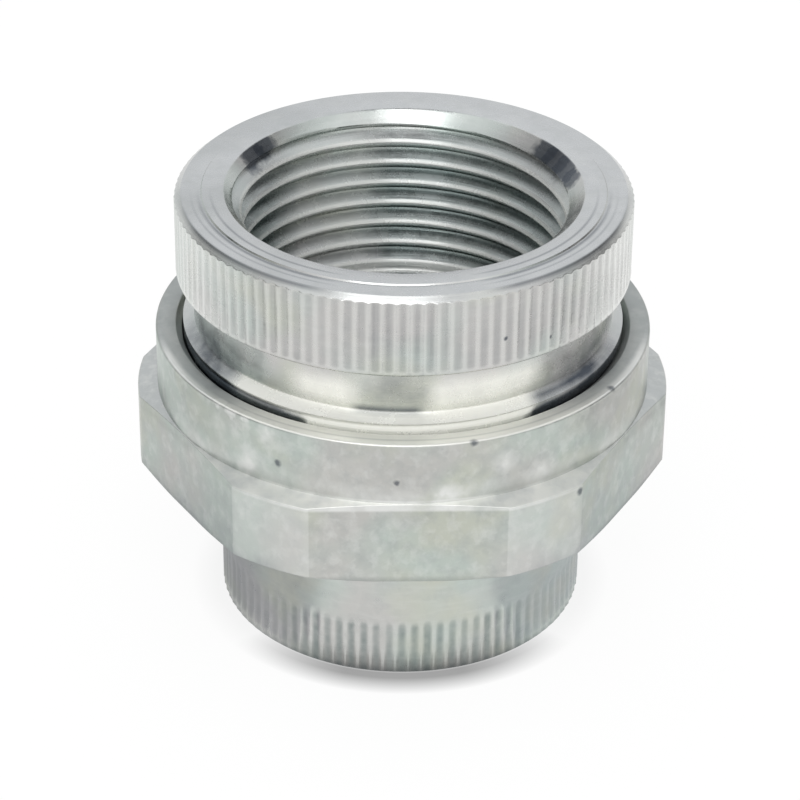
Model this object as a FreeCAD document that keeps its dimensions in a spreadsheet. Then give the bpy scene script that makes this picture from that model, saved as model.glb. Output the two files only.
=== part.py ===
import FreeCAD, Part
import Sketcher
import os

# A three-piece threaded conduit union for 1 in. trade size conduit, in millimetres.
# It stands upright on the lower hub: +Z runs along the conduit, the origin is the
# centre of the lower hub's end face, and a flat of the nut faces -Y.

sizes = {
    # Conduit side, the same in both hubs
    "conduitThreadDia": 33.4,
    "conduitThreadDepth": 1.5,
    "throatStep": 1.8,
    "stopLip": 4.7,
    "throatBevel": 0.8,
    # Lower hub
    "lowerLength": 21.8,
    "lowerWall": 1.2,
    "baseMouthGap": 0.2,
    "shoulderWidth": 2.2,
    "shoulderThickness": 3.5,
    "lowerKnurlHeight": 6.5,
    # Union nut
    "nutRunningGap": 0.25,
    "shoulderGap": 0.15,
    "nutThreadDepth": 0.95,
    "nutThreadGap": 0.15,
    "nutFlange": 3.4,
    "nutWall": 2.5,
    "crownGap": 5.9,
    "rimBevel": 0.3,
    "rimChamfer": 0.95,
    "hexHeight": 8.5,
    "flatStep": 0.15,
    "cornerReach": 1.77,
    "ledgeDrop": 0.45,
    "footBevelWidth": 1.67,
    "footBevelDrop": 0.55,
    # Upper hub
    "upperLength": 21.8,
    "threadEndBevel": 1.0,
    "threadShow": 0.4,
    "flareRise": 0.75,
    "neckRelief": 0.1,
    "neckBevel": 0.7,
    "collarHeight": 8.1,
    "collarOverhang": 0.55,
    "collarBevelWidth": 0.65,
    "collarBevelDrop": 0.55,
    "collarKnurlStart": 0.4,
    "mouthFlare": 0.4,
    "faceStep": 0.12,
    "facePadWidth": 2.0,
    # Straight knurls on both hubs
    "knurlPitch": 1.24,
    "knurlDepth": 0.25,
    "knurlLand": 0.5,
}

# Radii from the conduit outwards, and the heights that pieces share.
# Hub heights start at the hub's own lower face, and nut heights at the nut's foot.
derived = {
    "threadRadius": "Sizes.conduitThreadDia / 2",
    "boreRadius": "Derived.threadRadius - Sizes.conduitThreadDepth",
    "throatRadius": "Derived.boreRadius - Sizes.throatStep",
    "lowerRadius": "Derived.threadRadius + Sizes.lowerWall",
    "baseMouthRadius": "Derived.threadRadius + Sizes.baseMouthGap",
    "shoulderRadius": "Derived.lowerRadius + Sizes.shoulderWidth",
    "nutThreadRoot": "Derived.shoulderRadius + Sizes.shoulderGap",
    "nutThreadCrest": "Derived.nutThreadRoot + Sizes.nutThreadDepth",
    "nutBoreRadius": "Derived.nutThreadCrest + Sizes.nutThreadGap",
    "crownRadius": "Derived.nutBoreRadius + Sizes.nutWall",
    "flatRadius": "Derived.crownRadius + Sizes.flatStep",
    "cornerRadius": "Derived.flatRadius + Sizes.cornerReach",
    "flangeHoleRadius": "Derived.lowerRadius + Sizes.nutRunningGap",
    "neckRadius": "Derived.nutThreadRoot - Sizes.neckRelief",
    "collarRadius": "Derived.nutThreadCrest + Sizes.collarOverhang",
    "mouthRadius": "Derived.threadRadius + Sizes.mouthFlare",
    "lowerStop": "Sizes.lowerLength - Sizes.stopLip",
    "shoulderFoot": "Sizes.lowerLength - Sizes.shoulderThickness",
    "nutFoot": "Derived.shoulderFoot - Sizes.nutFlange",
    "collarFoot": "Sizes.upperLength - Sizes.collarHeight",
    "nutMouth": "Derived.collarFoot - Sizes.crownGap",
    "nutLength": "Derived.nutMouth + Sizes.shoulderThickness + Sizes.nutFlange",
    "threadTop": "Derived.nutMouth + Sizes.threadShow",
    "outerFace": "Sizes.upperLength - Sizes.faceStep",
    "knurlWidth": "Sizes.knurlPitch - Sizes.knurlLand",
}

doc = FreeCAD.newDocument("conduit_union")


def fillSheet(name, cells, prefix=""):
    sheet = doc.addObject("Spreadsheet::Sheet", name)
    for row, (alias, content) in enumerate(cells.items(), start=1):
        sheet.set("A%d" % row, alias)
        sheet.setAlias("B%d" % row, alias)
        sheet.set("B%d" % row, prefix + str(content))
    doc.recompute()
    return sheet


def newBody(label):
    body = doc.addObject("PartDesign::Body", label)
    body.Label = label
    return body


def originFeature(body, role):
    return next(item for item in body.Origin.OriginFeatures if item.Role == role)


def newSketch(body, name, plane):
    sketch = body.newObject("Sketcher::SketchObject", name)
    sketch.AttachmentSupport = [(originFeature(body, plane), "")]
    sketch.MapMode = "FlatFace"
    return sketch


def drawOutline(sketch, corners):
    # A closed outline of straight lines. Each corner is a pair of expressions, measured
    # from the sketch's origin, and a height of "0" lies on the horizontal axis.
    places = []
    for across, up in corners:
        values = [float(sketch.evalExpression(text)) for text in (across, up)]
        places.append(FreeCAD.Vector(*values, 0))
    for start, end in zip(places, places[1:] + places[:1]):
        sketch.addGeometry(Part.LineSegment(start, end), False)
    for index, (across, up) in enumerate(corners):
        following = (index + 1) % len(corners)
        sketch.addConstraint(Sketcher.Constraint("Coincident", index, 2, following, 1))
        placeCorner(sketch, index, "DistanceX", across, places[index].x)
        placeCorner(sketch, index, "DistanceY", up, places[index].y)


def placeCorner(sketch, index, kind, expression, value):
    if expression == "0":
        sketch.addConstraint(Sketcher.Constraint("PointOnObject", index, 1, -1))
        return
    row = sketch.addConstraint(Sketcher.Constraint(kind, -1, 1, index, 1, value))
    sketch.setExpression("Constraints[%d]" % row, expression)


def turn(body, name, corners):
    # A turned blank: the half section in the XZ plane, revolved once round Z.
    sketch = newSketch(body, name + "_section", "XZ_Plane")
    drawOutline(sketch, corners)
    blank = body.newObject("PartDesign::Revolution", name)
    blank.Profile = sketch
    blank.ReferenceAxis = (sketch, ["V_Axis"])
    blank.Angle = 360
    doc.recompute()


def knurl(body, name, surface, start, upwards):
    # A straight knurl: one V groove on +X, cut from the start height to the end of the
    # piece, and repeated round Z as often as the knurl's pitch fits the circumference.
    before = body.Shape.Volume
    sketch = newSketch(body, name + "_groove", "XY_Plane")
    sketch.setExpression("AttachmentOffset.Base.z", start)
    root = surface + " - Sizes.knurlDepth"
    # The groove's flanks run on past the surface by its own depth again.
    outside = surface + " + Sizes.knurlDepth"
    drawOutline(sketch, [
        (root, "0"),
        (outside, "Derived.knurlWidth"),
        (outside, "-Derived.knurlWidth"),
    ])
    groove = body.newObject("PartDesign::Pocket", name)
    groove.Profile = sketch
    groove.Type = "ThroughAll"
    groove.Reversed = upwards
    doc.recompute()
    pattern = body.newObject("PartDesign::PolarPattern", name + "_ring")
    pattern.Originals = [groove]
    pattern.Axis = (originFeature(body, "Z_Axis"), [""])
    pattern.Angle = 360
    pattern.setExpression("Occurrences", "round(2 * pi * (%s) / Sizes.knurlPitch)" % surface)
    body.Tip = pattern
    doc.recompute()
    if body.Shape.Volume >= before:
        raise ValueError("the knurl %s cuts nothing" % name)


def lowerHub():
    # The plain hub: it stands on its open end, and its shoulder is caught by the nut.
    body = newBody("lower_hub")
    turn(body, "lower_blank", [
        ("Derived.baseMouthRadius", "0"),
        ("Derived.lowerRadius", "0"),
        ("Derived.lowerRadius", "Derived.shoulderFoot"),
        ("Derived.shoulderRadius", "Derived.shoulderFoot"),
        ("Derived.shoulderRadius", "Sizes.lowerLength"),
        ("Derived.throatRadius", "Sizes.lowerLength"),
        ("Derived.throatRadius", "Derived.lowerStop + Sizes.throatBevel"),
        ("Derived.throatRadius + Sizes.throatBevel", "Derived.lowerStop"),
        ("Derived.boreRadius", "Derived.lowerStop"),
        ("Derived.boreRadius", "Derived.baseMouthRadius - Derived.boreRadius"),
    ])
    knurl(body, "lower_knurl", "Derived.lowerRadius", "Sizes.lowerKnurlHeight", upwards=False)
    return body


def upperHub():
    # The hub with the knurled collar: its outer thread screws into the nut. The thread
    # is plain here, at its outer diameter, and the conduit's thread at its inner one.
    body = newBody("upper_hub")
    turn(body, "upper_blank", [
        ("Derived.throatRadius", "0"),
        ("Derived.nutThreadCrest - Sizes.threadEndBevel", "0"),
        ("Derived.nutThreadCrest", "Sizes.threadEndBevel"),
        ("Derived.nutThreadCrest", "Derived.threadTop"),
        ("Derived.neckRadius", "Derived.threadTop + Sizes.flareRise"),
        ("Derived.neckRadius", "Derived.collarFoot - Sizes.neckBevel"),
        ("Derived.neckRadius + Sizes.neckBevel", "Derived.collarFoot"),
        ("Derived.collarRadius", "Derived.collarFoot"),
        ("Derived.collarRadius", "Derived.outerFace - Sizes.collarBevelDrop"),
        ("Derived.collarRadius - Sizes.collarBevelWidth", "Derived.outerFace"),
        ("Derived.mouthRadius + Sizes.facePadWidth + Sizes.faceStep", "Derived.outerFace"),
        ("Derived.mouthRadius + Sizes.facePadWidth", "Sizes.upperLength"),
        ("Derived.mouthRadius", "Sizes.upperLength"),
        ("Derived.boreRadius", "Sizes.upperLength - Derived.mouthRadius + Derived.boreRadius"),
        ("Derived.boreRadius", "Sizes.stopLip"),
        ("Derived.throatRadius + Sizes.throatBevel", "Sizes.stopLip"),
        ("Derived.throatRadius", "Sizes.stopLip - Sizes.throatBevel"),
    ])
    knurl(body, "collar_knurl", "Derived.collarRadius",
          "Derived.collarFoot + Sizes.collarKnurlStart", upwards=True)
    body.setExpression("Placement.Base.z", "Sizes.lowerLength")
    return body


def unionNut():
    # A turned ring with six milled flats. The flats meet the turned corners, so each
    # corner keeps a narrow round strip, and the crown above the ledge stays round.
    body = newBody("union_nut")
    turn(body, "nut_blank", [
        ("Derived.flangeHoleRadius", "0"),
        ("Derived.cornerRadius - Sizes.footBevelWidth", "0"),
        ("Derived.cornerRadius", "Sizes.footBevelDrop"),
        ("Derived.cornerRadius", "Sizes.hexHeight - Sizes.ledgeDrop"),
        ("Derived.crownRadius", "Sizes.hexHeight"),
        ("Derived.crownRadius", "Derived.nutLength - Sizes.rimBevel"),
        ("Derived.crownRadius - Sizes.rimBevel", "Derived.nutLength"),
        ("Derived.nutBoreRadius + Sizes.rimChamfer", "Derived.nutLength"),
        ("Derived.nutBoreRadius", "Derived.nutLength - Sizes.rimChamfer"),
        ("Derived.nutBoreRadius", "Sizes.nutFlange"),
        ("Derived.flangeHoleRadius", "Sizes.nutFlange"),
    ])
    before = body.Shape.Volume
    sketch = newSketch(body, "flat_cut", "XY_Plane")
    drawOutline(sketch, [
        ("-Derived.cornerRadius", "-Derived.flatRadius"),
        ("-Derived.cornerRadius", "-Derived.cornerRadius - Sizes.flatStep"),
        ("Derived.cornerRadius", "-Derived.cornerRadius - Sizes.flatStep"),
        ("Derived.cornerRadius", "-Derived.flatRadius"),
    ])
    flat = body.newObject("PartDesign::Pocket", "flat")
    flat.Profile = sketch
    flat.Type = "ThroughAll"
    flat.Reversed = True
    doc.recompute()
    flats = body.newObject("PartDesign::PolarPattern", "flats")
    flats.Originals = [flat]
    flats.Axis = (originFeature(body, "Z_Axis"), [""])
    flats.Angle = 360
    flats.Occurrences = 6
    body.Tip = flats
    doc.recompute()
    if body.Shape.Volume >= before:
        raise ValueError("the nut's flats cut nothing")
    body.setExpression("Placement.Base.z", "Derived.nutFoot")
    return body


fillSheet("Sizes", sizes)
fillSheet("Derived", derived, prefix="=")
bodies = [lowerHub(), unionNut(), upperHub()]
doc.recompute()

for item in doc.Objects:
    if "Invalid" in item.State or "Error" in item.State:
        raise ValueError("%s has failed: %s" % (item.Label, item.State))
for body in bodies:
    if body.Shape.isNull() or not body.Shape.isValid():
        raise ValueError("%s has no valid shape" % body.Label)

os.makedirs("parts", exist_ok=True)
for body in bodies:
    body.Shape.exportStep("parts/%s.step" % body.Label)
    print("%s %.0f mm3" % (body.Label, body.Shape.Volume))
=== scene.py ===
import math
import random

import bmesh
import bpy
from mathutils import Matrix, Vector


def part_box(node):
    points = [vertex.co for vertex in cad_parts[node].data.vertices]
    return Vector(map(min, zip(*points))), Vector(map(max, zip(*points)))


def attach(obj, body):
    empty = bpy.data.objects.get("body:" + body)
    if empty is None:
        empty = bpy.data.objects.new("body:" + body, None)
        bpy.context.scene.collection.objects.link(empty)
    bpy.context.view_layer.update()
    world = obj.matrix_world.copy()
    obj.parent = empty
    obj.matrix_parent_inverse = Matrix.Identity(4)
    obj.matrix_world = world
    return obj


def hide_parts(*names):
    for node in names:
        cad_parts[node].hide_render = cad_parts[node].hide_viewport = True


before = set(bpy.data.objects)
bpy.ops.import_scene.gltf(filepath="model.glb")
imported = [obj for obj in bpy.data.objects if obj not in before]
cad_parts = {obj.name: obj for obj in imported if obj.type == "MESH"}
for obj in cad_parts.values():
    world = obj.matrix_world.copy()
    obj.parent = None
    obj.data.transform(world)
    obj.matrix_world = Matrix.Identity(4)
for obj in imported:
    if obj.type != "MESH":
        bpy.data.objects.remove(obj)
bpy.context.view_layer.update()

mm = 0.001
fullTurn = 2 * math.pi
# The pieces' boxes, in millimetres, as is everything from here on
upperBox, nutBox, lowerBox = ([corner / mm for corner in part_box(node)]
                              for node in ("upper_hub", "union_nut", "lower_hub"))
print("frame loaded")


# Camera, where the photograph was taken from: 31 degrees up, and a little left of the nut's front flat

cameraPlace = {
    "aim": (0, 0, 22), "distance": 302.8, "elevation": 30.66, "turn": -1.7,
    "lens": 139.16, "sensor": 36, "roll": 0.595, "shift": (-0.0028, -0.0207), "clipStart": 10,
}


def placeCamera(place):
    elevation, turn, roll = (math.radians(place[key]) for key in ("elevation", "turn", "roll"))
    side = Vector((math.cos(turn), math.sin(turn), 0))
    back = Vector((math.cos(elevation) * math.sin(turn),
                   -math.cos(elevation) * math.cos(turn), math.sin(elevation)))
    up = back.cross(side)
    right = side * math.cos(roll) + up * math.sin(roll)
    top = up * math.cos(roll) - side * math.sin(roll)
    camera = bpy.data.objects.new("camera", bpy.data.cameras.new("camera"))
    camera.data.lens = place["lens"]
    camera.data.sensor_width = place["sensor"]
    camera.data.shift_x, camera.data.shift_y = place["shift"]
    camera.data.clip_start = place["clipStart"] * mm
    where = (Vector(place["aim"]) + back * place["distance"]) * mm
    camera.matrix_world = Matrix.Translation(where) @ Matrix((right, top, back)).transposed().to_4x4()
    bpy.context.scene.collection.objects.link(camera)
    bpy.context.scene.camera = camera


placeCamera(cameraPlace)


# A turned piece: rings of points round Z, joined in a closed loop

sharpAngle = 34  # degrees between faces, from which an edge stays sharp
sameSpot = 0.0005  # points nearer than this are one


class TurnedShell:
    def __init__(self):
        self.points = []
        self.faces = []

    def point(self, angle, radius, height):
        self.points.append((radius * math.cos(angle) * mm, radius * math.sin(angle) * mm, height * mm))
        return len(self.points) - 1

    def ring(self, angles, radius, height):
        # radius and height are numbers or functions of the angle
        radiusAt = radius if callable(radius) else lambda angle: radius
        heightAt = height if callable(height) else lambda angle: height
        return [self.point(angle, radiusAt(angle), heightAt(angle)) for angle in angles]

    def face(self, *corners):
        kept = list(dict.fromkeys(corners))
        if len(kept) > 2:
            self.faces.append(kept)

    def join(self, *rings):
        # rings of as many points each
        for first, second in zip(rings, rings[1:]):
            for index in range(len(first)):
                after = (index + 1) % len(first)
                self.face(first[index], first[after], second[after], second[index])

    def stitch(self, first, firstAngles, second, secondAngles):
        # two rings of different counts, both starting at angle 0
        a, b = 0, 0
        firstEnds = firstAngles[1:] + [fullTurn]
        secondEnds = secondAngles[1:] + [fullTurn]
        while a < len(first) or b < len(second):
            if b == len(second) or (a < len(first) and firstEnds[a] <= secondEnds[b]):
                self.face(first[a], first[(a + 1) % len(first)], second[b % len(second)])
                a += 1
            else:
                self.face(first[a % len(first)], second[(b + 1) % len(second)], second[b])
                b += 1

    def threadedWall(self, angles, low, high, thread, radiusAt):
        # Rows of points follow the right-hand helix between two heights. The column after
        # the last is the first one again, a pitch further up.
        pitch = thread["pitch"]
        shift = (thread["crestHeight"] / pitch - crestTurn) % 1
        steps = sorted((step + shift) % 1 for step in threadRows)
        lowRing = self.ring(angles, lambda angle: radiusAt(angle, low), low)
        highRing = self.ring(angles, lambda angle: radiusAt(angle, high), high)
        made = {}

        def corner(column, row):
            if column == len(angles):
                column, row = 0, row + len(steps)
            angle = angles[column]
            height = pitch * (row // len(steps) + steps[row % len(steps)] + angle / fullTurn)
            if height <= low:
                return lowRing[column]
            if height >= high:
                return highRing[column]
            if (column, row) not in made:
                made[column, row] = self.point(angle, radiusAt(angle, height), height)
            return made[column, row]

        firstRow = (math.floor(low / pitch) - 2) * len(steps)
        lastRow = (math.ceil(high / pitch) + 1) * len(steps)
        for column in range(len(angles)):
            for row in range(firstRow, lastRow):
                self.face(corner(column, row), corner(column + 1, row),
                          corner(column + 1, row + 1), corner(column, row + 1))
        return lowRing, highRing

    def piece(self, name, body, node, material):
        mesh = bpy.data.meshes.new(name)
        mesh.from_pydata(self.points, [], self.faces)
        soup = bmesh.new()
        soup.from_mesh(mesh)
        bmesh.ops.remove_doubles(soup, verts=soup.verts, dist=sameSpot * mm)
        bmesh.ops.recalc_face_normals(soup, faces=soup.faces)
        soup.to_mesh(mesh)
        soup.free()
        mesh.polygons.foreach_set("use_smooth", [True] * len(mesh.polygons))
        mesh.set_sharp_from_angle(angle=math.radians(sharpAngle))
        mesh.materials.append(material)
        made = bpy.data.objects.new(name, mesh)
        bpy.context.scene.collection.objects.link(made)
        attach(made, body)
        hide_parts(node)
        print(name, "has", len(mesh.polygons), "faces")
        return made


def evenAngles(count):
    return [fullTurn * index / count for index in range(count)]


def ramp(value, start, end):
    return min(1, max(0, (value - start) / (end - start)))


def lerp(start, end, share):
    return start + (end - start) * share


def quarterTurns(steps):
    # (1 - cos, 1 - sin) at even steps round a quarter circle
    for step in range(1, steps + 1):
        turn = math.pi / 2 * step / steps
        yield 1 - math.cos(turn), 1 - math.sin(turn)


# Threads. The radius is at the crests: of the conduit's thread in both bores, and of the outer
# thread of the upper hub, which the nut's own thread follows at a clearance.

conduitThread = {
    "pitch": 2.2087, "depth": 1.25, "radius": 15.2, "crestHeight": 34.06, "taper": 1 / 32,
    "crest": 0.05, "root": 0.04, "rounding": 0.09, "swell": 1,
}

nutThread = {
    "pitch": 1.5875, "depth": 0.5, "radius": 21.2, "crestHeight": 29.95,
    "crest": 0.02, "root": 0.02, "rounding": 0.03, "swell": 2.4, "clearance": 0.15,
}

crestTurn = 0.25  # crestHeight is that of a crest at the back, a quarter turn on from X

# Rows of points from a crest to the root, as shares of the pitch
halfThreadRows = [0, 0.035, 0.07, 0.1, 0.13, 0.16, 0.2, 0.27, 0.34, 0.4, 0.45]
threadRows = halfThreadRows + [0.5] + [1 - row for row in reversed(halfThreadRows[1:])]
fineColumns = evenAngles(192)


def threadDepth(thread, angle, height):
    # 0 on the crest and 1 in the root, with rounded corners where the flanks start
    turns = (height - thread["crestHeight"]) / thread["pitch"] - angle / fullTurn + crestTurn
    offset = abs(turns - round(turns))
    spread = [offset + shift * thread["rounding"] for shift in (-1, -0.5, 0, 0.5, 1)]
    depths = [ramp(place, thread["crest"], 0.5 - thread["root"]) ** thread["swell"] for place in spread]
    return sum(depths) / len(depths)


# The inside of both hubs: a countersunk mouth, the conduit's thread, the stop and the throat

hubBore = {
    "mouthRadius": 17.1, "lowerMouthRadius": 16.9, "mouthEdge": 0.06, "stopLip": 4.7,
    "runOut": 1.2, "middle": 7.6, "throatRadius": 13.4, "throatRound": 0.8, "throatSteps": 6,
}


def boreWall(shell, sizes, mouthRadius, mouthHeight, stopHeight, faceHeight):
    # returns the ring at the mouth and the last ring of the throat
    inwards = 1 if stopHeight > mouthHeight else -1

    def radiusAt(angle, height):
        depth = abs(height - mouthHeight)
        cut = conduitThread["depth"] * threadDepth(conduitThread, angle, height)
        cut *= ramp(abs(height - stopHeight), 0, sizes["runOut"])
        cut += conduitThread["taper"] * (sizes["middle"] - depth)
        countersink = mouthRadius - depth
        return max(conduitThread["radius"] + cut, countersink)

    edge = sizes["mouthEdge"]
    mouth = shell.ring(fineColumns, mouthRadius + edge, mouthHeight)
    nearMouth = mouthHeight + inwards * edge
    low, high = shell.threadedWall(fineColumns, min(nearMouth, stopHeight), max(nearMouth, stopHeight),
                                   conduitThread, radiusAt)
    inner, outer = (high, low) if inwards > 0 else (low, high)
    lip = sizes["throatRound"]
    rings = [shell.ring(fineColumns, sizes["throatRadius"] + lip, stopHeight)]
    for away, left in quarterTurns(sizes["throatSteps"]):
        rings.append(shell.ring(fineColumns, sizes["throatRadius"] + lip * left,
                                stopHeight + inwards * lip * away))
    rings.append(shell.ring(fineColumns, sizes["throatRadius"], faceHeight))
    shell.join(mouth, outer)
    shell.join(inner, *rings)
    return mouth, rings[-1]


# Straight knurls: rounded ridges with narrow grooves between them, each rolled a little differently

knurls = {
    "pitch": 1.24, "depth": 0.13, "unevenDepth": 0.3, "unevenRidge": 0.02, "fade": 0.45,
    "phases": (0, 0.14, 0.22, 0.28, 0.34, 0.4, 0.45, 0.5, 0.55, 0.6, 0.66, 0.72, 0.78, 0.86),
}


def knurlColumns(radius):
    count = round(fullTurn * radius / knurls["pitch"])
    return count, [fullTurn * (tooth + phase) / count
                   for tooth in range(count) for phase in knurls["phases"]]


def knurlDepth(count, ridgeWidth, seed):
    draw = random.Random(seed)
    depths = [knurls["depth"] * (1 - knurls["unevenDepth"] * draw.random()) for groove in range(count)]
    drops = [knurls["unevenRidge"] * draw.random() for ridge in range(count)]
    floorEnd = 0.5 * (1 - ridgeWidth / knurls["pitch"])
    rounding = 1e-6  # keeps a ridge that starts at a column from being missed by a hair

    def depthAt(angle):
        place = angle / fullTurn * count
        groove = round(place)
        rise = ramp(abs(place - groove), floorEnd, 0.5)
        drop = drops[math.floor(place + rounding) % count]
        return lerp(depths[groove % count], drop, 0.5 - 0.5 * math.cos(math.pi * rise))

    return depthAt


# Shader nodes

class Wire:
    # an output of a shader node: arithmetic on it adds Math nodes
    def __init__(self, tree, socket):
        self.tree = tree
        self.socket = socket

    def math(self, operation, *values):
        return self.tree.node("ShaderNodeMath", {"operation": operation}, *values)

    def __add__(self, other):
        return self.math("ADD", self, other)

    def __radd__(self, other):
        return self.math("ADD", other, self)

    def __sub__(self, other):
        return self.math("SUBTRACT", self, other)

    def __rsub__(self, other):
        return self.math("SUBTRACT", other, self)

    def __mul__(self, other):
        return self.math("MULTIPLY", self, other)

    def __rmul__(self, other):
        return self.math("MULTIPLY", other, self)

    def __truediv__(self, other):
        return self.math("DIVIDE", self, other)

    def __rtruediv__(self, other):
        return self.math("DIVIDE", other, self)

    def __pow__(self, other):
        return self.math("POWER", self, other)

    def __rpow__(self, other):
        return self.math("POWER", other, self)

    def __neg__(self):
        return self.math("MULTIPLY", self, -1)

    def __abs__(self):
        return self.math("ABSOLUTE", self)

    def between(self, low, high):
        # 0 up to low and 1 from high, whichever of the two is larger
        return self.tree.node("ShaderNodeMapRange", {}, self, low, high, 0, 1)

    def inside(self, low, high, soft):
        # 1 from low to high, and 0 from a soft edge's width beyond them
        return self.between(low - soft, low) * self.between(high + soft, high)

    def within(self, band):
        # a band of two numbers rises from 0 to 1, and one of three is from, to and soft edge
        return self.between(*band) if len(band) == 2 else self.inside(*band)

    def bump(self, middle, width):
        # 1 at the middle, 0 a width away
        return abs(self - middle).between(width, 0)


class ShaderTree:
    def __init__(self, holder):
        holder.use_nodes = True
        self.nodes = holder.node_tree.nodes
        self.links = holder.node_tree.links
        self.nodes.clear()

    def feed(self, socket, value):
        if isinstance(value, Wire):
            self.links.new(value.socket, socket)
        elif isinstance(value, tuple) and len(value) == 3 and socket.type == "RGBA":
            socket.default_value = (*value, 1)
        elif value is not None:
            socket.default_value = value

    def node(self, kind, settings, *values, output=0, **named):
        # settings come first, then the values of the sockets in order, then named ones
        made = self.nodes.new(kind)
        for key, value in settings.items():
            setattr(made, key, value)
        for socket, value in zip(made.inputs, values):
            self.feed(socket, value)
        for name, value in named.items():
            self.feed(made.inputs[name.replace("_", " ")], value)
        return Wire(self, made.outputs[output]) if made.outputs else None

    def mix(self, share, first, second, blend="MIX"):
        settings = {"data_type": "RGBA", "blend_type": blend}
        return self.node("ShaderNodeMix", settings, share, None, None, None, None, None,
                         first, second, output=2)

    def noise(self, vector, scale, detail=2.0, roughness=0.5, output=0):
        return self.node("ShaderNodeTexNoise", {}, Vector=vector, Scale=scale,
                         Detail=detail, Roughness=roughness, output=output)

    def parts(self, vector):
        wire = self.node("ShaderNodeSeparateXYZ", {}, vector)
        return [Wire(self, output) for output in wire.socket.node.outputs]


class Surface(ShaderTree):
    # a material that knows where on the piece it is, in millimetres
    def __init__(self, holder):
        super().__init__(holder)
        metres = self.node("ShaderNodeTexCoord", {}, output=3)
        self.place = self.vectorMath("SCALE", metres, None, None, 1 / mm)
        self.x, self.y, self.z = self.parts(self.place)
        self.radius = (self.x * self.x + self.y * self.y) ** 0.5
        self.across = self.x / self.radius
        self.ahead = -self.y / self.radius
        self.facing = self.parts(self.node("ShaderNodeNewGeometry", {}, output=1))[2]
        wander = self.noise(self.place, 1.6, detail=3, output=1)
        self.wander = self.vectorMath("SUBTRACT", wander, (0.5, 0.5, 0.5))

    def vectorMath(self, operation, *values, output=0):
        return self.node("ShaderNodeVectorMath", {"operation": operation}, *values, output=output)

    def frayed(self, share):
        return self.vectorMath("MULTIPLY_ADD", self.wander, (share, share, share), self.place)

    def patches(self, scale, detail, band):
        return self.noise(self.place, scale, detail=detail).within(band)

    def zone(self, radii, heights):
        return self.radius.within(radii) * self.z.within(heights)

    def area(self, band, heights):
        # the band runs from -1 at the left to 1 at the right
        return self.across.within(band) * self.z.within(heights)

    def spots(self, places, fray, soft):
        # 1 near each place, and 0 from its size on
        shares = 0
        for x, y, height, size in places:
            away = self.vectorMath("DISTANCE", self.frayed(fray), (x, y, height), output=1)
            shares = shares + away.between(size, size * (1 - soft))
        return shares


# Zinc plate: light grey, with faint pink, green and yellow clouds in its clear film

zincFilm = {
    "pink": (1.0, 0.955, 0.955), "green": (0.94, 1.0, 0.97), "yellow": (1.0, 0.995, 0.91),
    # Besides the clouds, the film has the tones that the marks mix in: a duller tone, a worn tone for wear
    # and for painted highlights, a bright tone for painted highlights, a shade tone and a teal tone for
    # painted shade, and a dark tone for real specks and painted shade
    "lilac": (0.95, 0.95, 1.0), "dull": (0.36, 0.385, 0.38), "worn": (0.8, 0.81, 0.79),
    "bright": (0.93, 0.93, 0.87), "shade": (0.2, 0.225, 0.22), "tarnish": (0.125, 0.175, 0.175),
    "grime": (0.045, 0.06, 0.085), "bumpDistance": 0.06, "bumpStrength": 0.25,
    "cloudScale": 0.09, "driftScale": 0.13, "mottleScale": 0.55, "fleckScale": 0.8,
    "lineScale": 4.5, "grainScale": 3, "grain": 0.25, "brushTurn": 0.25,
    # bands of the noises, and of how far the surface faces up, over which each colour comes in
    "greenBand": (0.42, 0.6), "yellowBand": (0.5, 0.66), "lilacBand": (0.6, 0.95),
    "dullBand": (0.56, 0.3), "wornBand": (0.48, 0.75), "roughBand": (0.3, 0.7),
}


def zincPlate(name, plate, film, markPiece):
    # markPiece returns the piece's own shares of the film's colours, among them painted highlights and
    # painted shade, and how matt each place is, which goes with the painted highlights
    material = bpy.data.materials.new(name)
    surface = Surface(material)
    place, radius, z = surface.place, surface.radius, surface.z

    clouds = surface.noise(place, film["cloudScale"])
    drift = surface.noise(place, film["driftScale"])
    tint = surface.mix(clouds.within(film["greenBand"]), film["pink"], film["green"])
    tint = surface.mix(drift.within(film["yellowBand"]), tint, film["yellow"])
    tint = surface.mix(surface.facing.within(film["lilacBand"]), tint, film["lilac"])
    colour = surface.mix(1.0, plate["grey"], tint, blend="MULTIPLY")

    mottle = surface.noise(place, film["mottleScale"], detail=5, roughness=0.62)
    streaked = surface.vectorMath("MULTIPLY", surface.frayed(plate["fray"]), plate["streak"])
    flecks = surface.noise(streaked, film["fleckScale"], detail=3)
    colour = surface.mix(mottle.within(film["dullBand"]) * plate["dulled"], colour, film["dull"])
    colour = surface.mix(flecks.within(film["wornBand"]) * plate["flecked"], colour, film["worn"])
    shares = markPiece(surface)
    matt = shares.pop("matt", 0.0)
    for key, share in shares.items():
        colour = surface.mix(share.between(0, 1), colour, film[key])

    fine = film["lineScale"]
    turnedPlace = surface.node("ShaderNodeCombineXYZ", {}, radius * fine, z * fine, 0)
    lines = surface.noise(turnedPlace, 1)
    grain = surface.noise(place, film["grainScale"])
    relief = lines * plate["turning"] + grain * film["grain"] + mottle * plate["lumps"]
    bump = surface.node("ShaderNodeBump", {}, Strength=film["bumpStrength"],
                        Distance=film["bumpDistance"] * mm, Height=relief)

    roughness = surface.node("ShaderNodeMapRange", {}, mottle, *film["roughBand"],
                             plate["smooth"], plate["rough"])
    shader = surface.node("ShaderNodeBsdfPrincipled", {}, Base_Color=colour, Metallic=1 - matt,
                          Roughness=roughness, Normal=bump, Anisotropic=plate["brushed"],
                          Anisotropic_Rotation=film["brushTurn"])
    surface.node("ShaderNodeOutputMaterial", {}, shader)
    return material


# The bore's zones: depths from the mouth, and distances outwards from the crests
boreZones = {
    "threaded": (1.2, 17.2, 0.5), "shadedInBore": (1.5, 6), "mouthShade": 0.3,
    "crest": (-0.3, 0.15, 0.15), "trough": (0.4, 2, 0.5), "root": (0.95, 1.8, 0.2),
}


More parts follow.
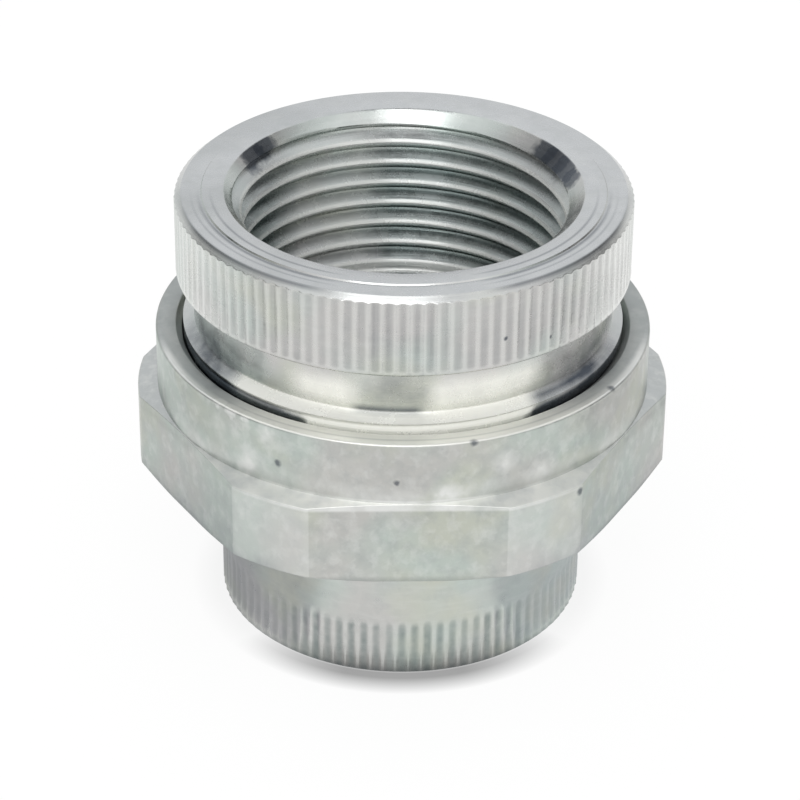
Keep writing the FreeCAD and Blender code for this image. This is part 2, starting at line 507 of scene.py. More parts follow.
def boreMarks(surface, mouth, inwards):
    # shares for the thread's crests, troughs and roots, which widen towards the mouth: painted highlights
    # on the crests, painted shade in the troughs and roots, weaker near the mouth
    zones = boreZones
    depth = (mouth - surface.z) * inwards
    crestRadius = conduitThread["radius"] + conduitThread["taper"] * (hubBore["middle"] - depth)
    above = surface.radius - crestRadius
    threaded = depth.within(zones["threaded"])
    shadedInBore = threaded * lerp(zones["mouthShade"], 1, depth.within(zones["shadedInBore"]))
    crest = above.within(zones["crest"]) * threaded
    trough = above.within(zones["trough"]) * shadedInBore
    root = above.within(zones["root"]) * shadedInBore
    return crest, trough, root


# Upper hub: knurled collar over a relief neck, with the outer thread that the nut turns on

upperHub = {
    "collarHeight": 8.1, "collarFootBevel": 0.2, "bevelWidth": 0.65, "bevelDrop": 0.55,
    "knurlStart": 0.2, "ridgeWidth": 1.15, "knurlSeed": 4, "faceStep": 0.12, "facePad": 2.0,
    "neckRadius": 20.15, "neckRound": 0.7, "flareRise": 0.7, "flareHollow": 1.15,
    "threadTop": 30.2, "threadRunOut": (0.2, 2.0), "runOutDepth": 0.3, "endBevel": 1.0,
}

upperPlate = {
    "grey": (0.585, 0.605, 0.59), "smooth": 0.2, "rough": 0.32, "brushed": 0.7, "lumps": 0.15,
    "turning": 0.7, "dulled": 0.25, "flecked": 0.12, "streak": (0.5, 0.5, 2.2), "fray": 0.1,
}

upperMarks = {
    # noises: scale, detail and the band that is shown
    "patchy": (0.11, 1, (0.3, 0.62)), "smoky": (0.45, 4, (0.35, 0.62)),
    # how strong each mark is, from 0 to 1
    "groove": 0.26, "ridge": 0.25, "sides": 0.55, "rightSide": 0.22, "face": 0.2, "coneDarkReflection": 0.8,
    "speck": 0.8, "undercut": 0.4, "gap": 0.85, "neckShade": 0.22, "leftShade": 0.72, "rightShade": 0.5,
    "glow": 0.95, "flare": 0.75, "crest": 0.7, "trough": 0.5, "root": 0.25, "mostGrimeAndShade": 0.9,
    # what is left of a mark where it is weakest
    "leastGroove": 0.35, "leastShade": 0.35, "leastGlow": 0.8, "leastHollowShade": 0.1,
    # how matt the painted highlights are
    "threadEndMatt": 0.8, "flareMatt": 0.7, "crestMatt": 0.65, "boreMatt": 0.6,
    # bands of radius and of height
    "collarWall": (21.2, 21.8, 0.07), "grooveRadii": (21.72, 21.64), "ridgeRadii": (21.68, 21.74),
    "neckWall": (19.5, 21.3, 0.2), "coneRadii": (17.12, 17), "knurlHeights": (35.95, 42.8, 0.25),
    "gapHeights": (28, 29.3, 0.5), "gapRise": 0.45, "threadEndHeights": (28, 29.9, 0.15),
    "topHeights": (43, 43.2), "facingUp": (0.6, 0.75),
    # bands from -1 at the back to 1 in front
    "front": (0.55, 0.8), "frontHalf": (0, 0.3), "notFront": (0.78, 0.5), "notBack": (0.05, 0.3),
    "gapFront": (-0.1, 0.25), "glowFront": (0.3, 0.6), "ringFront": (0, 0.2),
    # bands from left to right, and areas of such a band and a band of heights
    "litGap": (-0.4, 0.54, 0.07), "litBore": (-0.62, -0.25, 0.2), "faceBand": (-0.2, -0.6),
    "litFray": 0.06, "gapSides": (0.45, 0.6), "ringSides": (0.45, 0.9, 0.15), "rightHalf": (0, 0.5),
    "undercutArea": ((-0.36, 0.06, 0.08), (35, 35.45, 0.3)),
    "flareArea": ((-0.74, 0.52, 0.06), (29.6, 30.9, 0.15)),
    "leftShadeArea": ((-0.96, -0.84, 0.1), (30.3, 32.2, 1.8)),
    "rightShadeArea": ((0.78, 0.9, 0.1), (30.2, 31.8, 1.6)),
    "leftGlowArea": ((-0.46, -0.3, 0.1), (32, 33, 1.6)),
    "rightGlowArea": ((0.15, 0.54, 0.09), (31.8, 33.2, 1.6)),
    # dark rings on the face, at its sides only: radius, width, darkness; painted dark lines of shade on the
    # neck: height, width, band, darkness
    "rings": ((21.2, 0.3, 0.6), (20.15, 0.2, 0.3), (19.45, 0.3, 0.6), (18.3, 0.22, 0.5)),
    "lines": ((31.1, 0.55, (-0.22, 0.03, 0.05), 0.7), (30.55, 0.4, (0.6, 0.82, 0.06), 0.7)),
    # spots: x, y, height and size, and how frayed and how soft their edges are
    "coneReflectionEdge": (1.2, 0.45), "shadeEdge": (0.8, 0.9), "speckEdge": (0.3, 0.6),
    "coneDarkReflections": ((-14.7, 7.9, 42.9, 2.0), (-13.4, 10, 42.9, 1.7), (13.9, 8.9, 42.8, 1.8),
               (14.9, 7, 42.8, 2), (15.6, 5, 42.8, 1.9), (16, 3, 42.8, 1.5)),
    "neckShades": ((-2.6, -20, 32.6, 2.4), (0.1, -20.1, 32.6, 2.2), (-1.4, -20.1, 34, 1.8)),
    "specks": ((8.72, -19.93, 38.45, 0.34), (12.94, -17.48, 37.2, 0.26)),
}


def markUpperHub(surface):
    marks = upperMarks
    radius, z, ahead, across = surface.radius, surface.z, surface.ahead, surface.across
    patchy = surface.patches(*marks["patchy"])
    smoky = surface.patches(*marks["smoky"])
    collar = radius.within(marks["collarWall"])
    neck = radius.within(marks["neckWall"])
    top = surface.facing.within(marks["facingUp"]) * z.within(marks["topHeights"])

    knurled = collar * z.within(marks["knurlHeights"])
    inFront = ahead.within(marks["front"])
    # painted shade in the knurl's grooves, patchy and strongest in front
    groove = knurled * radius.within(marks["grooveRadii"])
    groove = groove * lerp(marks["leastGroove"], 1, patchy) * lerp(marks["leastGroove"], 1, inFront)
    ridge = knurled * radius.within(marks["ridgeRadii"])
    # painted light: the collar lighter left and right of its front, more so at the right
    sides = collar * ahead.within(marks["notFront"]) * ahead.within(marks["notBack"])
    sides = sides * (marks["sides"] + across.within(marks["rightHalf"]) * marks["rightSide"])

    frontHalf = ahead.within(marks["frontHalf"])
    lit = (across + smoky * marks["litFray"]).within(marks["litGap"]) * frontHalf
    # painted shade in the gap between the thread and the nut, left out where the front is lit
    gap = (z - abs(across).within(marks["gapSides"]) * marks["gapRise"]).within(marks["gapHeights"])
    gap = gap * neck * (1 - lit) * (0.35 + ahead.within(marks["gapFront"]) * 0.5 + smoky * 0.15)
    # painted shade under the collar's foot
    undercut = surface.area(*marks["undercutArea"]) * neck
    # painted highlights, matt, on the flare and on the thread's end where the front is lit
    flare = surface.area(*marks["flareArea"]) * neck
    threadEnd = z.within(marks["threadEndHeights"]) * neck * lit

    grime = groove * marks["groove"] + undercut * marks["undercut"] + gap * marks["gap"]
    # painted dark lines of shade on the neck
    for height, width, band, darkness in marks["lines"]:
        grime = grime + z.bump(height, width) * across.within(band) * neck * darkness
    # dark rings on the face, at its sides only
    aside = abs(across).within(marks["ringSides"]) * ahead.within(marks["ringFront"])
    for ring, width, darkness in marks["rings"]:
        grime = grime + radius.bump(ring, width) * top * aside * darkness
    cone = radius.within(marks["coneRadii"])
    # painted dark reflections on the countersink
    grime = grime + surface.spots(marks["coneDarkReflections"], *marks["coneReflectionEdge"]) * cone * marks["coneDarkReflection"]
    grime = grime + surface.spots(marks["neckShades"], *marks["shadeEdge"]) * neck * marks["neckShade"]
    grime = grime + surface.spots(marks["specks"], *marks["speckEdge"]) * marks["speck"]
    shade = surface.area(*marks["leftShadeArea"]) * marks["leftShade"]
    shade = shade + surface.area(*marks["rightShadeArea"]) * marks["rightShade"]
    grime = grime + shade * neck * frontHalf * lerp(marks["leastShade"], 1, smoky)

    # painted highlights on the neck, left and right of its front
    glow = surface.area(*marks["leftGlowArea"]) + surface.area(*marks["rightGlowArea"])
    glow = glow * neck * ahead.within(marks["glowFront"]) * lerp(marks["leastGlow"], 1, smoky)
    # painted highlights on the thread's crests, painted shade in its troughs and roots, much weaker on the
    # left, where the bore is lit
    crest, trough, root = boreMarks(surface, upperBox[1].z, 1)
    litBore = across.within(marks["litBore"])
    tarnish = trough * marks["trough"] + root * marks["root"]
    return {
        "shade": top * patchy * across.within(marks["faceBand"]) * marks["face"],
        "worn": sides + ridge * marks["ridge"] + crest * marks["crest"],
        "tarnish": tarnish * lerp(1, marks["leastHollowShade"], litBore),
        "bright": threadEnd + flare * marks["flare"] + glow * marks["glow"],
        "grime": grime.between(0, marks["mostGrimeAndShade"]) * marks["mostGrimeAndShade"],
        "matt": (threadEnd * marks["threadEndMatt"] + flare * marks["flareMatt"]
                 + crest * marks["crestMatt"] + trough * litBore * marks["boreMatt"]),
    }


def makeUpperHub(sizes):
    shell = TurnedShell()
    bottom, top = upperBox[0].z, upperBox[1].z
    collarRadius = upperBox[1].y
    collarFoot = top - sizes["collarHeight"]
    outerFace = top - sizes["faceStep"]
    bevelFoot = outerFace - sizes["bevelDrop"]
    grooveFoot = collarFoot + sizes["knurlStart"]
    count, columns = knurlColumns(collarRadius)
    depthAt = knurlDepth(count, sizes["ridgeWidth"], sizes["knurlSeed"])

    def collarWall(height):
        share = ramp(height, grooveFoot, grooveFoot + knurls["fade"])
        bevel = collarRadius - sizes["bevelWidth"] * ramp(height, bevelFoot, outerFace)
        return lambda angle: min(bevel, collarRadius - depthAt(angle) * share)

    heights = [collarFoot + sizes["collarFootBevel"], grooveFoot]
    heights += [grooveFoot + knurls["fade"] * share for share in (0.25, 0.5, 0.75, 1)]
    heights += [lerp(heights[-1], bevelFoot, share) for share in (0.33, 0.67, 1)]
    heights += [lerp(bevelFoot, outerFace, share) for share in (0.08, 0.16, 0.24, 0.32, 1)]
    collar = [shell.ring(columns, collarRadius - sizes["collarFootBevel"], collarFoot)]
    collar += [shell.ring(columns, collarWall(height), height) for height in heights]
    shell.join(*collar)

    mouth, throatEnd = boreWall(shell, hubBore, hubBore["mouthRadius"], top,
                                bottom + hubBore["stopLip"], bottom)
    padRadius = hubBore["mouthRadius"] + sizes["facePad"]
    padFoot = shell.ring(fineColumns, padRadius + sizes["faceStep"], outerFace)
    shell.stitch(collar[-1], columns, padFoot, fineColumns)
    shell.join(padFoot, shell.ring(fineColumns, padRadius, top), mouth)

    outside = nutThread["radius"]
    neckRadius = sizes["neckRadius"]

    def outerAt(angle, height):
        whole = ramp(sizes["threadTop"] - height, *sizes["threadRunOut"])
        depth = nutThread["depth"] * lerp(sizes["runOutDepth"], 1, whole)
        threaded = outside - depth * threadDepth(nutThread, angle, height)
        return min(threaded, outside - sizes["endBevel"] + height - bottom)

    threadFoot, threadEnd = shell.threadedWall(fineColumns, bottom, sizes["threadTop"], nutThread, outerAt)
    shell.join(throatEnd, threadFoot)
    curve = sizes["neckRound"]
    outline = [(lerp(neckRadius, outside, (1 - share) ** sizes["flareHollow"]),
                sizes["threadTop"] + sizes["flareRise"] * share)
               for share in (0.02, 0.08, 0.16, 0.24, 0.32, 0.4, 0.5, 0.6, 0.7, 0.8, 0.9, 1)]
    outline.append((neckRadius, collarFoot - curve))
    outline += [(neckRadius + curve * away, collarFoot - curve * left) for away, left in quarterTurns(8)]
    neck = [shell.ring(fineColumns, across, height) for across, height in outline]
    shell.join(threadEnd, *neck)
    shell.stitch(neck[-1], fineColumns, collar[0], columns)
    zinc = zincPlate("upperHubZinc", upperPlate, zincFilm, markUpperHub)
    return shell.piece("upperHubTurned", "upper_hub", "upper_hub", zinc)


makeUpperHub(upperHub)


# Lower hub: it stands on its knurled end, and its shoulder is held by the nut's flange

lowerHub = {
    "radius": 17.9, "baseBevel": 0.35, "knurlHeight": 6.5, "knurlFade": 1.2, "knurlEdge": 0.05,
    "ridgeWidth": 1.12, "knurlSeed": 7, "shoulderThickness": 3.5, "shoulderBevel": 0.3,
}

lowerPlate = {
    "grey": (0.57, 0.595, 0.575), "smooth": 0.26, "rough": 0.4, "brushed": 0.4, "lumps": 0.2,
    "turning": 0.4, "dulled": 0.3, "flecked": 0.15, "streak": (0.5, 0.5, 2.2), "fray": 0.1,
}

lowerMarks = {
    "patchy": (0.7, 3, (0.35, 0.65)), "front": (0.68, 0.88),
    "groove": 0.62, "ridge": 0.25, "side": 0.35, "crest": 0.5, "trough": 0.6, "root": 0.3,
    "foot": 0.45, "seat": 0.45, "leastGroove": 0.6, "backGroove": 0.15, "knurlFray": 0.8,
    "wall": (17.2, 18, 0.05), "grooveRadii": (17.87, 17.79), "ridgeRadii": (17.84, 17.89),
    "knurlHeights": (0, 5.6, 0.8), "footHeights": (0.9, 0.05), "seatHeights": (14, 14.9),
    "sideBand": (-0.7, -0.9),
}


def markLowerHub(surface):
    marks = lowerMarks
    radius, z = surface.radius, surface.z
    patchy = surface.patches(*marks["patchy"])
    outside = radius.within(marks["wall"])
    knurled = outside * (z + (patchy - 0.5) * marks["knurlFray"]).within(marks["knurlHeights"])
    inFront = surface.ahead.within(marks["front"])
    # painted shade in the knurl's grooves, mostly in front
    groove = knurled * radius.within(marks["grooveRadii"])
    groove = groove * lerp(marks["leastGroove"], 1, patchy) * lerp(marks["backGroove"], 1, inFront)
    ridge = knurled * radius.within(marks["ridgeRadii"])
    seat = outside * z.within(marks["seatHeights"])
    # painted shade at the foot, darker towards the bottom
    foot = outside * z.within(marks["footHeights"])
    side = outside * surface.across.within(marks["sideBand"])
    # painted highlights on the thread's crests, painted shade in its troughs and roots
    crest, trough, root = boreMarks(surface, lowerBox[0].z, -1)
    return {
        "worn": ridge * patchy * marks["ridge"] + crest * marks["crest"],
        "tarnish": groove * marks["groove"] + trough * marks["trough"] + root * marks["root"],
        "shade": seat * marks["seat"] + side * marks["side"], "grime": foot * marks["foot"],
    }


def makeLowerHub(sizes):
    shell = TurnedShell()
    bottom, top = lowerBox[0].z, lowerBox[1].z
    radius, shoulderRadius = sizes["radius"], lowerBox[1].y
    count, columns = knurlColumns(radius)
    depthAt = knurlDepth(count, sizes["ridgeWidth"], sizes["knurlSeed"])
    knurlTop = bottom + sizes["knurlHeight"]

    def knurledWall(height):
        share = ramp(height, knurlTop, knurlTop - sizes["knurlFade"])
        bevel = radius - sizes["baseBevel"] * (1 - ramp(height, bottom, bottom + sizes["baseBevel"]))
        return lambda angle: min(bevel, radius - depthAt(angle) * share)

    heights = [bottom + sizes["baseBevel"] * share for share in (0, 0.25, 0.5, 0.75, 1)]
    heights += [lerp(heights[-1], knurlTop - sizes["knurlFade"], share) for share in (0.5, 1)]
    heights += [knurlTop - sizes["knurlFade"] * share for share in (0.75, 0.5, 0.25, 0)]
    wall = [shell.ring(columns, knurledWall(height), height) for height in heights]
    shell.join(*wall)

    mouth, throatEnd = boreWall(shell, hubBore, hubBore["lowerMouthRadius"], bottom,
                                top - hubBore["stopLip"], top)
    shell.stitch(wall[0], columns, mouth, fineColumns)
    bevel = sizes["shoulderBevel"]
    shoulderFoot = top - sizes["shoulderThickness"]
    rim = [(radius, knurlTop + sizes["knurlEdge"]), (radius, shoulderFoot),
           (shoulderRadius - bevel, shoulderFoot), (shoulderRadius, shoulderFoot + bevel),
           (shoulderRadius, top - bevel), (shoulderRadius - bevel, top)]
    rings = [shell.ring(fineColumns, across, height) for across, height in rim]
    shell.stitch(wall[-1], columns, rings[0], fineColumns)
    shell.join(*rings, throatEnd)
    zinc = zincPlate("lowerHubZinc", lowerPlate, zincFilm, markLowerHub)
    return shell.piece("lowerHubTurned", "lower_hub", "lower_hub", zinc)


makeLowerHub(lowerHub)


# Union nut: a turned ring with six milled flats, a round crown and the flange below

unionNut = {
    "crown": 23.85, "rimRound": 0.3, "rimChamfer": 0.6, "hexHeight": 8.5,
    "ledgeDrop": 0.45, "ledgeRound": 0.12, "footBevelWidth": 1.67, "footBevelDrop": 0.55,
    "footRound": 0.15, "flangeHole": 18.15, "holeBevel": 0.3, "flangeHeight": 3.4,
    "threadRelief": 1.9, "edgeSoftness": 0.012, "mouthEdge": 0.05, "footLand": 0.5,
    "sides": 6, "flatSteps": 18,
}

nutPlate = {
    "grey": (0.55, 0.575, 0.55), "smooth": 0.32, "rough": 0.5, "brushed": 0.0, "lumps": 0.6,
    "turning": 0.15, "dulled": 0.44, "flecked": 0.36, "streak": (1.1, 1.1, 0.9), "fray": 1,
}

nutMarks = {
    "patchy": (0.4, 3, (0.35, 0.6)),
    # how strong each mark is, from 0 to 1
    "edge": 0.9, "corner": 0.25, "outer": 0.7, "crownFoot": 0.45, "rimWear": 0.4, "patch": 0.75,
    "chip": 0.8, "speck": 0.7, "rim": 0.85, "rimShade": 0.45, "foot": 0.35, "ring": 0.3, "gap": 0.5,
    "leastEdge": 0.4, "leastFoot": 0.3, "ledge": (0.1, 0.4),
    # how matt the bright marks are
    "rimMatt": 0.5, "ledgeMatt": 0.5, "chamferMatt": 0.7, "sideMatt": 0.55,
    # zones: a band of radius and one of height
    "edgeZone": ((23.75, 23.85), (22.8, 23.5, 0.25)), "ledgeZone": ((23.8, 23.95), (22.8, 23.6, 0.2)),
    "crownFootZone": ((23.8, 23.9, 0.04), (23.4, 24.2, 1.2)), "topZone": ((21.8, 22), (29.2, 29.4)),
    "cornerZone": ((25.7, 25.9, 0.04), (15.4, 23.2, 0.1)), "footZone": ((17.9, 18.2), (15.6, 15.1)),
    "innerZone": ((23.4, 22.8), (28.8, 29.1)), "chamferZone": ((22.1, 21.9), (28.8, 29.1)),
    "gapZone": ((21.6, 21.4), (28.9, 28.6)), "outerRadii": (22.9, 23.3), "backHeights": (29.1, 29.4),
    "ringLine": (22.9, 0.2), "upward": (0.5, 0.9),
    # bands from -1 at the back to 1 in front
    "front": (0.6, 0.82), "back": (0.35, 0.1), "edgeFront": (0.7, 0.95), "ledgeFront": (0.3, 0.7),
    "outerFront": (0.3, 1, 0.15), "footFront": (0.2, 0.6), "sideFront": (-0.1, 0.25),
    # spots: x, y, height and size, and how frayed and how soft their edges are
    "speckEdge": (0.35, 0.65), "chipEdge": (1, 0.45), "patchEdge": (1, 0.9),
    "specks": ((-11.94, -20.65, 25.84, 0.48), (-1.11, -23.82, 25.62, 0.36), (5.9, -23.11, 29.42, 0.5),
               (15.94, -20.25, 22.34, 0.5), (19.01, -13.81, 29.6, 0.5), (24.6, -6, 24.8, 0.45)),
    "chips": ((-16, -17.2, 29.5, 1), (-14.6, -18.2, 29.4, 0.8), (-17.2, -15.9, 29.6, 0.7)),
    "patches": ((-12.75, -20.16, 28.5, 1.6), (-16.9, -16.9, 27.3, 2), (-14.6, -18.9, 24.9, 2.2),
                (3.5, -23.7, 24.3, 1.6), (8.9, -22.2, 26.8, 1.5), (12.5, -20.3, 25.2, 1.8)),
}


def markNut(surface):
    marks = nutMarks
    radius, z, ahead = surface.radius, surface.z, surface.ahead
    patchy = surface.patches(*marks["patchy"])
    upward = surface.facing.within(marks["upward"])
    inFront = ahead.within(marks["front"])
    edge = surface.zone(*marks["edgeZone"]) * ahead.within(marks["edgeFront"])
    ledge = surface.zone(*marks["ledgeZone"]) * upward * ahead.within(marks["ledgeFront"])
    top = surface.zone(*marks["topZone"]) * upward
    outer = top * radius.within(marks["outerRadii"]) * ahead.within(marks["outerFront"])
    inner = surface.zone(*marks["innerZone"])
    corner = surface.zone(*marks["cornerZone"])
    crownFoot = surface.zone(*marks["crownFootZone"]) * ahead.within(marks["footFront"])
    sideRim = inner * (1 - inFront) * ahead.within(marks["sideFront"])

    # painted highlights in front, along the flats' top edges, on the rim's outer part and on the crown's
    # foot; lighter corners; wear on the rim's sides, worn patches and chips
    worn = edge * lerp(marks["leastEdge"], 1, patchy) * marks["edge"]
    worn = worn + corner * marks["corner"] + outer * marks["outer"]
    worn = worn + crownFoot * lerp(marks["leastFoot"], 1, patchy) * marks["crownFoot"]
    worn = worn + sideRim * patchy * marks["rimWear"]
    worn = worn + surface.spots(marks["patches"], *marks["patchEdge"]) * patchy * marks["patch"]
    worn = worn + surface.spots(marks["chips"], *marks["chipEdge"]) * marks["chip"]

    behind = ahead.within(marks["back"]) * z.within(marks["backHeights"])
    shade = (inner * (1 - inFront) + behind).between(0, 1) * marks["rimShade"]
    shade = shade + surface.zone(*marks["footZone"]) * marks["foot"]
    shade = shade + radius.bump(*marks["ringLine"]) * top * inFront * marks["ring"]
    # painted shade in the gap inside the rim, away from the front; real dark specks
    grime = surface.zone(*marks["gapZone"]) * (1 - inFront) * marks["gap"]
    grime = grime + surface.spots(marks["specks"], *marks["speckEdge"]) * marks["speck"]

    # painted highlights, matt, on the rim's top in front and on the ledge
    lit = top * inFront
    chamfer = surface.zone(*marks["chamferZone"]) * inFront
    return {
        "worn": worn, "bright": lit * marks["rim"] + ledge * lerp(*marks["ledge"], patchy),
        "shade": shade, "grime": grime,
        "matt": (lit * marks["rimMatt"] + ledge * marks["ledgeMatt"]
                 + chamfer * marks["chamferMatt"] + sideRim * marks["sideMatt"]),
    }


def nutColumns(flat, corner, sizes):
    # one sector runs from corner to corner, with columns close to both vertical edges of the flat
    half = math.acos(flat / corner)
    end = math.pi / sizes["sides"]
    steps, softness = sizes["flatSteps"], sizes["edgeSoftness"]
    sector = [-end]
    sector += [lerp(-half, half, step / steps) for step in range(steps + 1)]
    for edge in (-half, half):
        sector += [edge - softness, edge + softness]
    for share in (0.35, 0.7):
        sector += [lerp(half, end, share), -lerp(half, end, share)]
    sector.sort()
    return [sideMiddle(side, sizes["sides"]) + angle for side in range(sizes["sides"]) for angle in sector]


def sideMiddle(side, sides):
    return fullTurn * (side + 0.5) / sides


def makeUnionNut(sizes):
    shell = TurnedShell()
    foot, mouth = nutBox[0].z, nutBox[1].z
    flat, corner = nutBox[1].y, nutBox[1].x
    columns = nutColumns(flat, corner, sizes)
    hexTop = foot + sizes["hexHeight"]
    crown = sizes["crown"]
    bevelStart = corner - sizes["footBevelWidth"]

    def outline(angle):
        # distance to the milled flat or to the turned corner, whichever is nearer
        middle = sideMiddle(math.floor(angle / fullTurn * sizes["sides"]), sizes["sides"])
        return min(flat / math.cos(angle - middle), corner)

    def footHeight(radius):
        return foot + sizes["footBevelDrop"] * max(0, radius - bevelStart) / sizes["footBevelWidth"]

    def ledgeHeight(radius):
        return hexTop - sizes["ledgeDrop"] * (radius - crown) / (corner - crown)

    def ledgeRound(angle):
        return min(sizes["ledgeRound"], outline(angle) - crown)

    def footRing(radiusAt):
        return shell.ring(columns, radiusAt, lambda angle: footHeight(radiusAt(angle)))

    def ledgeRing(radiusAt):
        return shell.ring(columns, radiusAt, lambda angle: ledgeHeight(radiusAt(angle)))

    hole, bevel = sizes["flangeHole"], sizes["holeBevel"]
    rings = [shell.ring(columns, hole, foot + bevel), shell.ring(columns, hole + bevel, foot)]
    footEdge = sizes["footRound"]
    rings.append(footRing(lambda angle: bevelStart - sizes["footLand"]))
    for share in (0, 0.5, 1):
        rings.append(footRing(lambda angle: lerp(min(bevelStart, outline(angle) - footEdge),
                                                 outline(angle) - footEdge, share)))
    for away, left in quarterTurns(4):
        rings.append(shell.ring(columns, lambda angle: outline(angle) - footEdge * left,
                                lambda angle: footHeight(outline(angle) - footEdge) + footEdge * away))
    for share in (0.2, 0.4, 0.6, 0.8):
        rings.append(shell.ring(columns, outline, lerp(foot, hexTop, share)))
    for away, left in quarterTurns(4):
        rings.append(shell.ring(
            columns, lambda angle: outline(angle) - ledgeRound(angle) * away,
            lambda angle: ledgeHeight(outline(angle) - ledgeRound(angle)) - ledgeRound(angle) * left))
    for share in (0.5, 1):
        rings.append(ledgeRing(lambda angle: lerp(outline(angle) - ledgeRound(angle), crown, share)))
    rimFoot = mouth - sizes["rimRound"]
    for share in (0.25, 0.5, 0.75, 1):
        rings.append(shell.ring(columns, crown, lerp(hexTop, rimFoot, share)))
    for away, left in quarterTurns(5):
        rings.append(shell.ring(columns, crown - sizes["rimRound"] * away,
                                mouth - sizes["rimRound"] * left))

    bore = nutThread["radius"] + nutThread["clearance"]
    chamfer = bore + sizes["rimChamfer"]
    seat = foot + sizes["flangeHeight"]
    edge = sizes["mouthEdge"]

    def innerAt(angle, height):
        threaded = bore - nutThread["depth"] * threadDepth(nutThread, angle, height)
        relief = bore - max(0, height - seat - sizes["threadRelief"])
        return max(threaded, relief, chamfer - (mouth - height))

    low, high = shell.threadedWall(columns, seat, mouth - edge, nutThread, innerAt)
    rings += [shell.ring(columns, chamfer + edge, mouth), high]
    shell.join(*rings)
    inner = [low, shell.ring(columns, hole + bevel, seat), shell.ring(columns, hole, seat - bevel)]
    shell.join(*inner, rings[0])
    zinc = zincPlate("unionNutZinc", nutPlate, zincFilm, markNut)
    return shell.piece("unionNutMilled", "union_nut", "union_nut", zinc)


makeUnionNut(unionNut)


# Studio: a pale floor, a soft sky that is brightest above the camera, one large lamp, and dark
# cards beside and in front of the object, out of the picture, that only reflections show

studio = {
    "floorSize": 4, "floorSeen": (0.09, 0.09, 0.09), "floorGlow": 0.92, "floorColour": (0.86, 0.86, 0.86),
    "contactShade": 0.66, "contactInner": (0.017, 0.0178), "contactOuter": (0.0186, 0.0212),
    "contactFront": (0.6, 0.95), "contactAround": 0.1,
    "sky": 0.87, "skyTop": 0.2, "skyFront": 0.25, "sideShade": 1.0, "zenithShade": 0.8,
    "topBand": (0.2, 0.9), "frontBand": (0.1, 0.6), "frontRise": (0, 0.6), "zenithBand": (0.945, 0.975),
    "sideBand": (0.6, 0.78), "sideHeight": (0.45, 0.42),
    "lampPlace": (-0.08, -0.42, 0.66), "lampSize": 0.42, "lampPower": 1.0,
    # cards: degrees from the front, half width in degrees, inner and outer radius, grey
    "cards": ((0, 12, 70, 84, 0.5), (-92, 20, 66, 78, 0.15), (92, 22, 66, 78, 0.1),
              (-76, 38, 18.3, 44, 0.6), (76, 36, 18.3, 44, 0.7)),
    "cardHeight": 0.5, "cardSteps": 8, "cardBlue": 1.05,
}


def makeFloor(sizes):
    half = sizes["floorSize"] / 2
    mesh = bpy.data.meshes.new("floor")
    mesh.from_pydata([(-half, -half, 0), (half, -half, 0), (half, half, 0), (-half, half, 0)], [],
                     [(0, 1, 2, 3)])
    floor = bpy.data.objects.new("floor", mesh)
    bpy.context.scene.collection.objects.link(floor)
    material = bpy.data.materials.new("palePaper")
    tree = ShaderTree(material)
    path = tree.node("ShaderNodeLightPath", {}).socket.node.outputs
    seen = sum(Wire(tree, path[name]) for name in ("Is Camera Ray", "Is Glossy Ray", "Is Transmission Ray"))
    plain = tree.node("ShaderNodeBsdfDiffuse", {}, sizes["floorColour"])
    x, y, z = tree.parts(tree.node("ShaderNodeTexCoord", {}, output=3))
    radius = (x * x + y * y) ** 0.5
    # a ring round the base, strongest in front, where the glow is dimmed: a painted contact shadow
    near = radius.between(*sizes["contactInner"]) * (1 - radius.between(*sizes["contactOuter"]))
    near = near * lerp(sizes["contactAround"], 1, (-y / radius).between(*sizes["contactFront"]))
    strength = sizes["floorGlow"] * (1 - sizes["contactShade"] * near)
    glow = tree.node("ShaderNodeEmission", {}, (1.0, 1.0, 1.0), strength)
    pale = tree.node("ShaderNodeBsdfDiffuse", {}, sizes["floorSeen"])
    bright = tree.node("ShaderNodeAddShader", {}, pale, glow)
    tree.node("ShaderNodeOutputMaterial", {}, tree.node("ShaderNodeMixShader", {}, seen, plain, bright))
    mesh.materials.append(material)


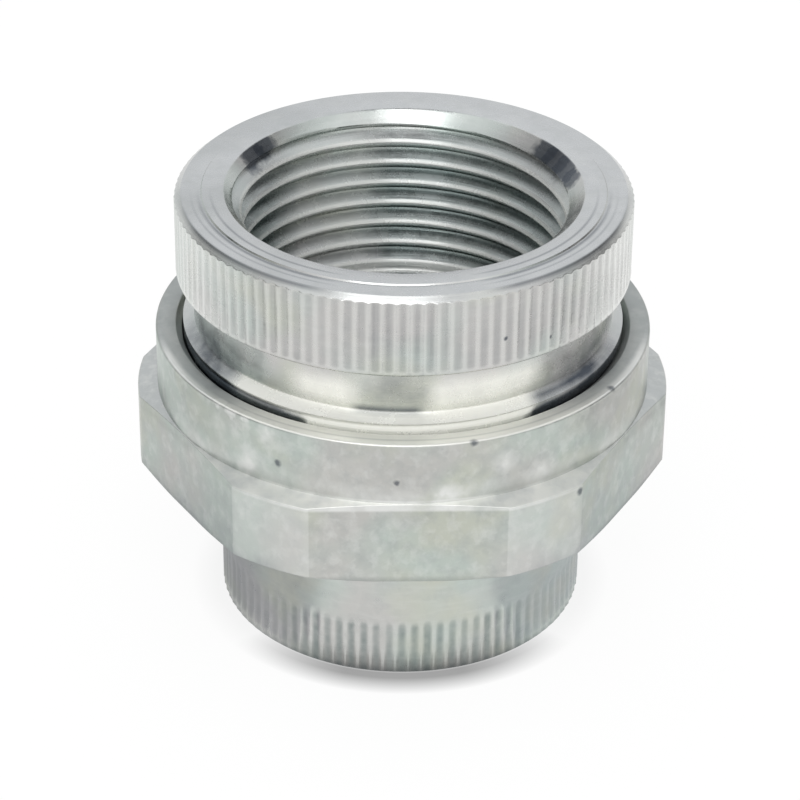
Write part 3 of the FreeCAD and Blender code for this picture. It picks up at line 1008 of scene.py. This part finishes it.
def makeCard(place, sizes):
    middle, halfWidth, inner, outer, grey = place
    steps = sizes["cardSteps"]
    shell = TurnedShell()
    angles = [math.radians(middle - 90 + halfWidth * step / steps) for step in range(-steps, steps + 1)]
    rings = [shell.ring(angles, across, sizes["cardHeight"]) for across in (inner, outer)]
    for index in range(len(angles) - 1):
        shell.face(rings[0][index], rings[0][index + 1], rings[1][index + 1], rings[1][index])
    mesh = bpy.data.meshes.new("card")
    mesh.from_pydata(shell.points, [], shell.faces)
    card = bpy.data.objects.new("card", mesh)
    bpy.context.scene.collection.objects.link(card)
    for kind in ("camera", "diffuse", "transmission", "shadow"):
        setattr(card, "visible_" + kind, False)
    material = bpy.data.materials.new("greyCard")
    tree = ShaderTree(material)
    shine = tree.node("ShaderNodeEmission", {}, (grey, grey, grey * sizes["cardBlue"]))
    tree.node("ShaderNodeOutputMaterial", {}, shine)
    mesh.materials.append(material)


def makeSky(sizes):
    world = bpy.data.worlds.new("softSky")
    bpy.context.scene.world = world
    tree = ShaderTree(world)
    x, y, z = tree.parts(tree.node("ShaderNodeTexCoord", {}, output=0))
    shade = abs(x).between(*sizes["sideBand"]) * z.bump(*sizes["sideHeight"]) * sizes["sideShade"]
    light = sizes["sky"] + z.between(*sizes["topBand"]) * sizes["skyTop"]
    front = (-y).between(*sizes["frontBand"]) * z.between(*sizes["frontRise"])
    light = light + front * sizes["skyFront"]
    light = light * (1 - z.between(*sizes["zenithBand"]) * sizes["zenithShade"])
    seen = Wire(tree, tree.node("ShaderNodeLightPath", {}).socket)
    strength = light * (1 - shade) * (1 - seen) + seen
    background = tree.node("ShaderNodeBackground", {}, (1.0, 1.0, 1.0), strength)
    tree.node("ShaderNodeOutputWorld", {}, background)


def makeLamp(sizes):
    lamp = bpy.data.lights.new("softBox", "AREA")
    lamp.size = sizes["lampSize"]
    lamp.energy = sizes["lampPower"]
    holder = bpy.data.objects.new("softBox", lamp)
    place = Vector(sizes["lampPlace"])
    holder.location = place
    holder.rotation_euler = place.to_track_quat("Z", "Y").to_euler()
    bpy.context.scene.collection.objects.link(holder)


makeFloor(studio)
for cardPlace in studio["cards"]:
    makeCard(cardPlace, studio)
makeSky(studio)
makeLamp(studio)
bpy.context.scene.view_settings.view_transform = "Standard"
print("studio set up")
